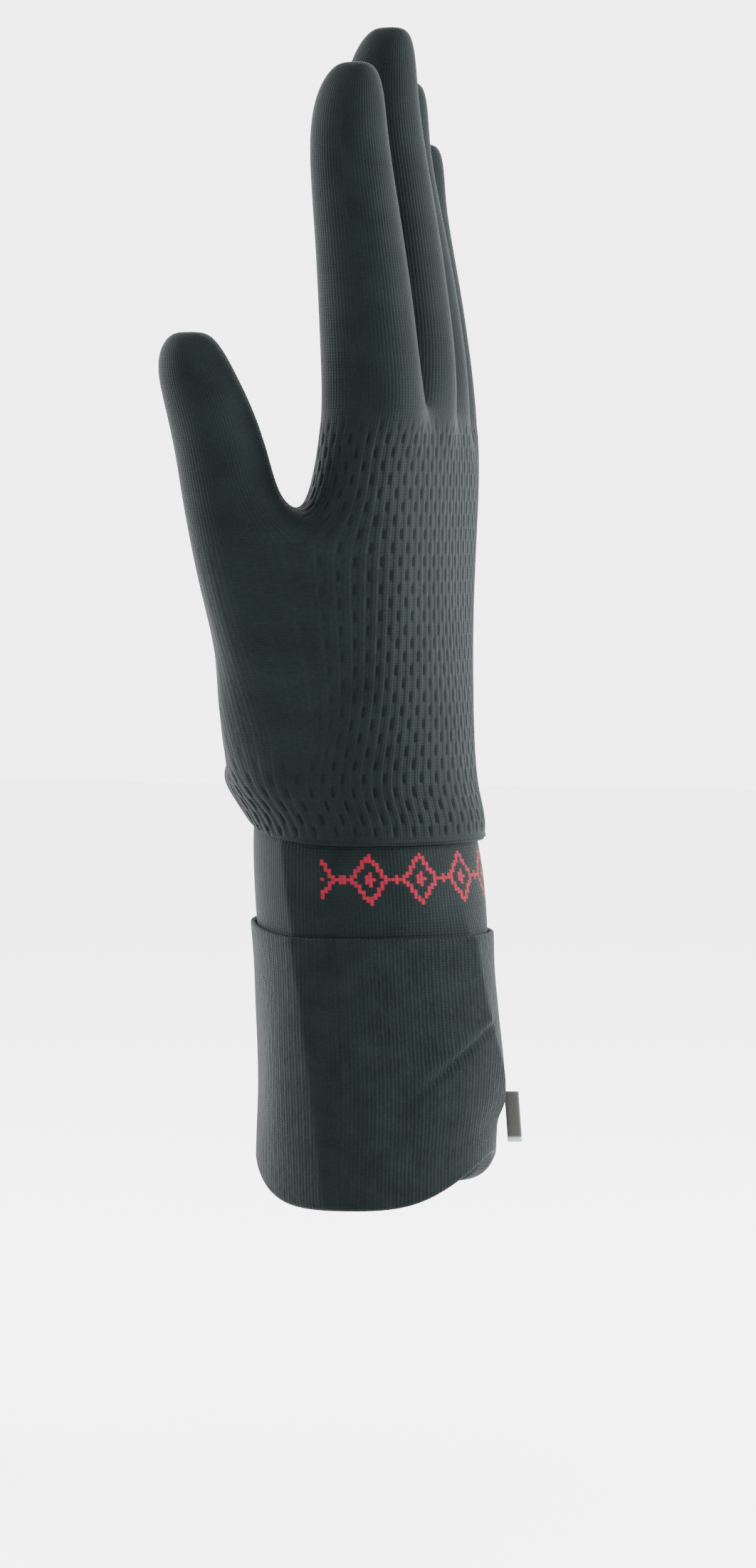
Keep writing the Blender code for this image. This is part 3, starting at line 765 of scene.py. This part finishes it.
turn = np.linspace(0.0, math.pi / 2.0, 6)
hem_near = CLEARANCE
hem_far = CLEARANCE + HEM_WALL
lip_near = -BAND_WALL - CLEARANCE
lip_far = lip_near - HEM_WALL
hem_outer = np.linspace(HEM_WALL, HEM_LENGTH - 0.0005, HEM_ROWS)
hem_profile = [
    (hem_outer, np.full(HEM_ROWS, hem_far)),
    (HEM_LENGTH - 0.0005 * (1 - np.sin(turn[1:])), hem_near + HEM_WALL * (0.5 + 0.5 * np.cos(turn[1:]))),
    (np.linspace(HEM_LENGTH - 0.0003, HEM_WALL + 0.0002, HEM_ROWS // 4),
     np.full(HEM_ROWS // 4, hem_near)),
    (np.linspace(HEM_WALL + 0.0002, HEM_LIP, 8), np.full(8, lip_near)),
    (np.linspace(HEM_LIP, HEM_WALL, 8), np.full(8, lip_far)),
    (HEM_WALL * (1.0 - np.sin(turn[1:])), lip_near - HEM_WALL * np.cos(turn[1:])),
    (HEM_WALL * (1.0 - np.cos(turn[:-1])), hem_near + HEM_WALL * np.sin(turn[:-1])),
]
hem_mesh = sweep_profile("hem_knit", np.concatenate([part[0] for part in hem_profile]),
                         np.concatenate([part[1] for part in hem_profile]))
print("band:", len(band_mesh.polygons), "faces; hem:", len(hem_mesh.polygons), "faces")

# %% [markdown]
# ## Materials
#
# Silk knit is dark and matt face on, and pale at grazing angles, where light catches its fine
# fibres. One recipe makes every cloth here: a dark base with slow colour variation, a sheen for
# the fibres, and a bump of stitches that follows each piece's own map, in millimetres.

# %% Helpers for materials
def new_material(name, roughness, sheen, sheen_roughness):
    """A node material whose constant values sit on the shader's own sockets."""
    material = bpy.data.materials.new(name)
    material.use_nodes = True
    shader = material.node_tree.nodes["Principled BSDF"]
    shader.inputs["Roughness"].default_value = roughness
    shader.inputs["Specular IOR Level"].default_value = 0.065
    shader.inputs["Specular Tint"].default_value = (0.80, 1.0, 1.0, 1.0)
    shader.inputs["Sheen Weight"].default_value = sheen
    shader.inputs["Sheen Roughness"].default_value = sheen_roughness
    shader.inputs["Sheen Tint"].default_value = (0.76, 0.93, 0.93, 1.0)
    return material, shader


def add_node(tree, kind, links=(), **values):
    """A node with some inputs set, and others linked from given sockets."""
    node = tree.nodes.new(kind)
    for key, value in values.items():
        if key.startswith("in_"):
            node.inputs[int(key[3:])].default_value = value
        else:
            setattr(node, key, value)
    for place, socket in links:
        tree.links.new(socket, node.inputs[place])
    return node


def calculate(tree, operation, first, second=None, third=None):
    """One Math node; each input is a number or a socket."""
    node = tree.nodes.new("ShaderNodeMath")
    node.operation = operation
    for place, value in enumerate((first, second, third)):
        if value is None:
            continue
        if isinstance(value, (int, float)):
            node.inputs[place].default_value = value
        else:
            tree.links.new(value, node.inputs[place])
    return node.outputs[0]


def knit_map(tree):
    """The piece's own map, split into the way across and the height, in mm."""
    source = add_node(tree, "ShaderNodeUVMap", uv_map="knit")
    split = add_node(tree, "ShaderNodeSeparateXYZ", [(0, source.outputs["UV"])])
    return source.outputs["UV"], split.outputs["X"], split.outputs["Y"]


def stitch_height(tree, across, height, wale, course):
    """Stitches: |sine| across each wale, broken up by a slanting sine along the courses."""
    lobe = calculate(tree, "ABSOLUTE", calculate(tree, "SINE",
                     calculate(tree, "MULTIPLY", across, math.pi / wale)))
    slant = calculate(tree, "ADD", calculate(tree, "MULTIPLY", height, 2.0 * math.pi / course),
                      calculate(tree, "MULTIPLY", lobe, 1.6))
    loop = calculate(tree, "SINE", slant)
    return calculate(tree, "ADD", lobe, calculate(tree, "MULTIPLY", loop, 0.35))


def cloth_colour(tree, coordinates, dark, light, scale):
    """Two close tones mixed by soft noise and finer flecks."""
    soft = add_node(tree, "ShaderNodeTexNoise", [(0, coordinates)], in_2=scale, in_3=3.0)
    fleck = add_node(tree, "ShaderNodeTexNoise", [(0, coordinates)], in_2=scale * 14.0, in_3=2.0)
    both = calculate(tree, "ADD", calculate(tree, "MULTIPLY", soft.outputs[0], 0.6),
                     calculate(tree, "MULTIPLY", fleck.outputs[0], 0.4))
    spread = add_node(tree, "ShaderNodeMapRange", [(0, both)], in_1=0.36, in_2=0.64)
    blend = add_node(tree, "ShaderNodeMix", [(0, spread.outputs[0])], data_type="RGBA")
    blend.inputs[6].default_value = (*dark, 1.0)
    blend.inputs[7].default_value = (*light, 1.0)
    return blend.outputs[2], fleck.outputs[0]


def add_bump(tree, shader, relief, strength, distance):
    """A Bump node on the shader's normal."""
    bump = add_node(tree, "ShaderNodeBump", [("Height", relief)])
    bump.inputs["Strength"].default_value = strength
    bump.inputs["Distance"].default_value = distance
    tree.links.new(bump.outputs[0], shader.inputs["Normal"])


CHARCOAL_DARK = (0.0006, 0.0014, 0.0014)
CHARCOAL_LIGHT = (0.0022, 0.0036, 0.0036)
WALE = 0.80
COURSE = 0.62

# %% [markdown]
# ### Plain knit
#
# The digits are fine jersey, too small in its stitches to model. A bump of loops on the map is
# enough, and it keeps the outline smooth, as the real fingers' is.

# %% Plain knit for the fingers
def plain_knit(name, dark, light, strength):
    """Fine jersey: flecked charcoal with small stitches in bump."""
    material, shader = new_material(name, 0.72, 0.055, 0.22)
    tree = material.node_tree
    coordinates, across, height = knit_map(tree)
    colour, fleck = cloth_colour(tree, coordinates, dark, light, 0.11)
    tree.links.new(colour, shader.inputs["Base Color"])
    stitches = stitch_height(tree, across, height, WALE, COURSE)
    relief = calculate(tree, "ADD", stitches, calculate(tree, "MULTIPLY", fleck, 0.8))
    add_bump(tree, shader, relief, strength, 0.00012)
    return material


finger_cloth = plain_knit("finger_jersey", CHARCOAL_DARK, CHARCOAL_LIGHT, 0.55)
inside_cloth = plain_knit("inner_face", CHARCOAL_DARK, CHARCOAL_LIGHT, 0.35)
print("stitches are", WALE, "mm wide and", COURSE, "mm high")

# %% [markdown]
# ### Slotted mesh
#
# The slots are dark because the cloth opens there and shade falls into them. Cutting thousands of holes
# would be heavy, so the finish paints that shade into the slots' colour and sinks them where the relief
# already dips, by the same two cosines.

# %% Slotted mesh for the hand
def mesh_knit():
    """Charcoal knit with painted shade in the slots: the same staggered cosines as the relief's."""
    material, shader = new_material("slotted_mesh", 0.70, 0.058, 0.22)
    tree = material.node_tree
    coordinates, across, height = knit_map(tree)
    colour, fleck = cloth_colour(tree, coordinates, CHARCOAL_DARK, CHARCOAL_LIGHT, 0.11)
    phase = calculate(tree, "MULTIPLY", across, RIBS_PER_COLUMN / COLUMN_WIDTH)
    rib = calculate(tree, "COSINE", calculate(tree, "MULTIPLY", phase, 2.0 * math.pi))
    valley = calculate(tree, "POWER", calculate(tree, "MAXIMUM",
                       calculate(tree, "MULTIPLY", rib, -1.0), 0.0), 3.0)
    odd = calculate(tree, "MULTIPLY",
                    calculate(tree, "MODULO", calculate(tree, "FLOOR", phase), 2.0), 0.5)
    turn_share = calculate(tree, "ADD", calculate(tree, "DIVIDE", height, SLOT_PITCH), odd)
    wave = calculate(tree, "COSINE", calculate(tree, "MULTIPLY", turn_share, 2.0 * math.pi))
    open_part = add_node(tree, "ShaderNodeMapRange", [(0, wave)], in_1=0.15, in_2=0.65)
    share = add_node(tree, "ShaderNodeAttribute", attribute_name="mesh_share")
    # slot marks where the cloth opens: it sinks the bump, and it sets where shade is painted into the
    # colour.
    slot = calculate(tree, "MULTIPLY", calculate(tree, "MULTIPLY", valley, open_part.outputs[0]),
                     share.outputs["Fac"])
    # Painted shade: near-black is mixed into the colour in the slots, where shade falls into the open
    # cloth.
    shade = add_node(tree, "ShaderNodeMix", [(0, slot), (6, colour)], data_type="RGBA")
    shade.inputs[7].default_value = (0.0004, 0.0005, 0.0005, 1.0)
    tree.links.new(shade.outputs[2], shader.inputs["Base Color"])
    stitches = stitch_height(tree, across, height, COLUMN_WIDTH / RIBS_PER_COLUMN / 3.0, COURSE)
    relief = calculate(tree, "ADD", calculate(tree, "MULTIPLY", stitches, 0.6),
                       calculate(tree, "MULTIPLY", fleck, 0.8))
    relief = calculate(tree, "SUBTRACT", relief, calculate(tree, "MULTIPLY", slot, 2.0))
    add_bump(tree, shader, relief, 0.6, 0.00014)
    return material


hand_cloth = mesh_knit()
print("slots every", SLOT_PITCH, "mm, staggered by half")

# %% [markdown]
# ### The wrist band's motif
#
# The band has a red knitted repeat on its back half: lozenges with a dot between them, worked
# stitch by stitch on a small grid. It could be an image, but a few sums on the map give crisp
# stitches at any size.

# %% Plain band with a red knitted repeat
MOTIF_PITCH = 12.0
MOTIF_MIDDLE = 71.2
MOTIF_HALF = 5.0
MOTIF_START = 7.0
MOTIF_END = 96.0
MOTIF_SHIFT = 10.0
STITCH_WIDE = 0.85
STITCH_HIGH = 0.65


def on_grid(tree, value, step):
    """The middle of the stitch that a value falls in: floor(value / step) + 0.5, times step."""
    whole = calculate(tree, "FLOOR", calculate(tree, "DIVIDE", value, step))
    return calculate(tree, "MULTIPLY", calculate(tree, "ADD", whole, 0.5), step)


def motif_mask(tree, across, height):
    """1 on the lozenge's outline, its heart and the dots between, read on the stitch grid."""
    girth = 1000.0 * math.pi * (MOUTH_WIDTH + MOUTH_DEPTH) / 2.0
    moved = calculate(tree, "MODULO", calculate(tree, "ADD", across, MOTIF_SHIFT), girth)
    column = on_grid(tree, moved, STITCH_WIDE)
    course = on_grid(tree, height, STITCH_HIGH)
    share = calculate(tree, "FRACT", calculate(tree, "DIVIDE", column, MOTIF_PITCH))
    aside = calculate(tree, "MULTIPLY", calculate(tree, "ABSOLUTE",
                      calculate(tree, "SUBTRACT", share, 0.5)), MOTIF_PITCH)
    above = calculate(tree, "ABSOLUTE", calculate(tree, "SUBTRACT", course, MOTIF_MIDDLE))
    diamond = calculate(tree, "ADD", calculate(tree, "MULTIPLY", aside, 1.25), above)
    outline = calculate(tree, "COMPARE", diamond, MOTIF_HALF, 0.85)
    heart = calculate(tree, "LESS_THAN", diamond, 1.7)
    side = calculate(tree, "SUBTRACT", MOTIF_PITCH / 2.0, aside)
    dot = calculate(tree, "LESS_THAN", calculate(tree, "ADD", side, above), 1.25)
    mask = calculate(tree, "MAXIMUM", calculate(tree, "MAXIMUM", outline, heart), dot)
    begun = calculate(tree, "GREATER_THAN", column, MOTIF_START)
    going = calculate(tree, "LESS_THAN", column, MOTIF_END)
    return calculate(tree, "MULTIPLY", mask, calculate(tree, "MULTIPLY", begun, going))


def band_knit():
    """Plain charcoal knit with the red repeat laid into its stitches."""
    material, shader = new_material("band_jersey", 0.74, 0.050, 0.23)
    tree = material.node_tree
    coordinates, across, height = knit_map(tree)
    colour, fleck = cloth_colour(tree, coordinates, CHARCOAL_DARK, CHARCOAL_LIGHT, 0.11)
    mask = motif_mask(tree, across, height)
    uneven = calculate(tree, "MULTIPLY", mask, add_node(
        tree, "ShaderNodeMapRange", [(0, fleck)], in_1=0.3, in_2=0.6, in_3=0.6, in_4=1.0).outputs[0])
    mixed = add_node(tree, "ShaderNodeMix", [(0, uneven), (6, colour)], data_type="RGBA")
    mixed.inputs[7].default_value = (0.095, 0.0035, 0.010, 1.0)
    tree.links.new(mixed.outputs[2], shader.inputs["Base Color"])
    stitches = stitch_height(tree, across, height, STITCH_WIDE, STITCH_HIGH)
    relief = calculate(tree, "ADD", stitches, calculate(tree, "MULTIPLY", fleck, 0.8))
    relief = calculate(tree, "ADD", relief, calculate(tree, "MULTIPLY", mask, 0.7))
    add_bump(tree, shader, relief, 0.55, 0.00014)
    return material


band_cloth = band_knit()
print("motif repeats every", MOTIF_PITCH, "mm")

# %% [markdown]
# ### The hem's ribbed cloth
#
# The hem's outer layer shows fine upright ribs and a slight mottle, because two layers are
# pressed together there.

# %% Ribbed cloth for the hem
def hem_knit():
    """Ribs as a sine across, over the stitches and a coarse mottle."""
    material, shader = new_material("hem_rib", 0.76, 0.052, 0.23)
    tree = material.node_tree
    coordinates, across, height = knit_map(tree)
    colour, fleck = cloth_colour(tree, coordinates, CHARCOAL_DARK, (0.0026, 0.0040, 0.0040), 0.16)
    tree.links.new(colour, shader.inputs["Base Color"])
    rib = calculate(tree, "SINE", calculate(tree, "MULTIPLY", across, 2.0 * math.pi / 1.7))
    stitches = stitch_height(tree, across, height, 0.85, 0.6)
    mottle = add_node(tree, "ShaderNodeTexNoise", [(0, coordinates)], in_2=0.55, in_3=2.0)
    relief = calculate(tree, "ADD", calculate(tree, "MULTIPLY", rib, 0.22), stitches)
    relief = calculate(tree, "ADD", relief, calculate(tree, "MULTIPLY", mottle.outputs[0], 3.0))
    add_bump(tree, shader, relief, 0.6, 0.00016)
    return material


hem_cloth = hem_knit()

# %% [markdown]
# ### Joining cloth and finish
#
# Each mesh is already in its worn place, so every object sits at the origin and only takes its
# finish here.

# %% Put the cloth pieces in place
pieces = {
    "hand_knit": add_piece("hand_knit", hand_mesh, hand_cloth),
    "finger_knit": add_piece("finger_knit", finger_mesh, finger_cloth),
    "hand_inside": add_piece("hand_inside", inner_mesh, inside_cloth),
    "band_knit": add_piece("band_knit", band_mesh, band_cloth),
    "hem_knit": add_piece("hem_knit", hem_mesh, hem_cloth),
}
print("pieces:", ", ".join(pieces))

# %% [markdown]
# ## The tab
#
# A short woven tape is folded in two and sewn to the back of the hem, so only its fold stands
# out. It is a rounded strip here, closed at both ends, with a paler lower edge.

# %% Make the folded tab
def tab_surface():
    """A closed flat loop of tape, carried up its height with a slight outward lean."""
    rows = 14
    sides = 28
    turn_round = np.linspace(0.0, 2.0 * math.pi, sides, endpoint=False)
    half_reach = TAB_REACH / 2.0
    reach = half_reach + half_reach * np.sign(np.cos(turn_round)) * np.abs(np.cos(turn_round)) ** 0.5
    side = TAB_THICKNESS / 2.0 * np.sign(np.sin(turn_round)) * np.abs(np.sin(turn_round)) ** 0.6
    levels = TAB_LIFT + TAB_HEIGHT * np.linspace(0.0, 1.0, rows)
    seat = np.array([HEM_WALL + 2.0 * CLEARANCE])
    base = cuff_surface(np.array([TAB_LIFT + TAB_HEIGHT / 2.0]), seat, np.array([TAB_ANGLE]))[0, 0]
    outward = np.array([math.cos(TAB_ANGLE), math.sin(TAB_ANGLE)])
    along = np.array([-outward[1], outward[0]])
    lean = 0.0004 * np.linspace(1.0, -1.0, rows)
    flat = (base[:2] + (reach[None, :] + lean[:, None] + 0.0002)[..., None] * outward
            + side[None, :, None] * along)
    grid = np.concatenate([flat, np.broadcast_to(levels[:, None, None], (rows, sides, 1))], axis=-1)
    return grid


tab_grid = tab_surface()
tab_rows, tab_sides = tab_grid.shape[:2]
ends = [tab_grid[:1].mean(axis=1, keepdims=True).repeat(tab_sides, axis=1),
        tab_grid[-1:].mean(axis=1, keepdims=True).repeat(tab_sides, axis=1)]
tab_grid = np.concatenate([ends[0], tab_grid, ends[1]])
tab_rows += 2
number = np.arange(tab_rows * tab_sides).reshape(tab_rows, tab_sides)
tab_quads = np.stack([number[:-1], np.roll(number, -1, 1)[:-1], np.roll(number, -1, 1)[1:],
                      number[1:]], axis=-1).reshape(-1, 4)
tab_uv = np.stack([np.arctan2(tab_grid[..., 1], tab_grid[..., 0]) * 25.0,
                   tab_grid[..., 2] * 1000.0], axis=-1).reshape(-1, 2)[tab_quads]
tab_mesh = mesh_from_arrays("label_tape", tab_grid.reshape(-1, 3), tab_quads, tab_uv)


def tape_material():
    """Grey-brown woven tape: fine crossing waves, and a pale stripe at the lower edge."""
    material, shader = new_material("woven_tape", 0.70, 0.25, 0.5)
    tree = material.node_tree
    _, across, height = knit_map(tree)
    warp = calculate(tree, "SINE", calculate(tree, "MULTIPLY", across, 2.0 * math.pi / 0.5))
    weft = calculate(tree, "SINE", calculate(tree, "MULTIPLY", height, 2.0 * math.pi / 0.5))
    weave = calculate(tree, "MULTIPLY", warp, weft)
    low = add_node(tree, "ShaderNodeMapRange", [(0, height)], in_1=TAB_LIFT * 1000.0 + 1.3,
                   in_2=TAB_LIFT * 1000.0 + 0.7)
    mixed = add_node(tree, "ShaderNodeMix", [(0, low.outputs[0])], data_type="RGBA")
    mixed.inputs[6].default_value = (0.026, 0.025, 0.023, 1.0)
    mixed.inputs[7].default_value = (0.20, 0.23, 0.25, 1.0)
    tree.links.new(mixed.outputs[2], shader.inputs["Base Color"])
    add_bump(tree, shader, weave, 0.5, 0.00008)
    return material


pieces["label_tape"] = add_piece("label_tape", tab_mesh, tape_material())
print("tab stands out", TAB_REACH, "m")

# %% [markdown]
# ## Light and floor
#
# The glove was photographed against white, lit from both sides and from behind, so its face is
# dark and its edges glow. A white surrounding light and two large soft lamps set a little
# behind the glove give the same balance. The floor is plain and pale.

# %% Floor, lamps and surrounding light
FLOOR_LEVEL = -0.062
FLOOR_SIZE = 6.0

floor_points = np.array([(-1, -1, 0), (1, -1, 0), (1, 1, 0), (-1, 1, 0)], float) * FLOOR_SIZE / 2.0
floor_points[:, 2] = FLOOR_LEVEL
floor_mesh = mesh_from_arrays("floor", floor_points, np.array([[0, 1, 2, 3]]),
                              np.zeros((1, 4, 2)))
floor_material = bpy.data.materials.new("pale_floor")
floor_material.use_nodes = True
floor_shader = floor_material.node_tree.nodes["Principled BSDF"]
floor_shader.inputs["Base Color"].default_value = (0.90, 0.90, 0.90, 1.0)
floor_shader.inputs["Roughness"].default_value = 0.6
floor = add_piece("floor", floor_mesh, floor_material)


def add_lamp(name, place, size, power):
    """A square area lamp aimed at the middle of the glove."""
    lamp_data = bpy.data.lights.new(name, "AREA")
    lamp_data.size = size
    lamp_data.energy = power
    lamp = bpy.data.objects.new(name, lamp_data)
    lamp.location = place
    aim = Vector(place) - Vector((0.0, 0.0, 0.12))
    lamp.rotation_euler = aim.to_track_quat("Z", "Y").to_euler()
    scene.collection.objects.link(lamp)


add_lamp("palm_side", (-0.10, -1.0, 0.40), 0.6, 26.0)
add_lamp("back_side", (-0.25, 1.0, 0.45), 0.6, 52.0)
add_lamp("front_fill", (1.2, 0.0, 0.9), 0.9, 2.0)

world = bpy.data.worlds.new("studio")
world.use_nodes = True
world.node_tree.nodes["Background"].inputs["Color"].default_value = (1.0, 1.0, 1.0, 1.0)
world.node_tree.nodes["Background"].inputs["Strength"].default_value = 4.8
scene.world = world

# %% [markdown]
# ## Hand over to the frame
#
# Each cloth piece is listed with the construction nodes it stands for and the name of its finish, which
# is not used here.
# Every piece is attached to the body it moves with, and the nodes it stands for are hidden. The glove
# has one body, because cloth has no joints.

TUBES = ("index_tube", "middle_tube", "ring_tube", "little_tube", "thumb_tube")
STANDS_FOR = {
    "hand_knit": (("hand_shell",), "knit"),
    "finger_knit": (TUBES, "knit"),
    "hand_inside": (("hand_shell",), "knit"),
    "band_knit": (("wrist_band",), "band"),
    "hem_knit": (("cuff_hem",), "hem"),
    "label_tape": (("label_tab",), "tape"),
}
for name, (nodes, slot) in STANDS_FOR.items():
    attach(pieces[name], "root")
    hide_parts(*nodes)
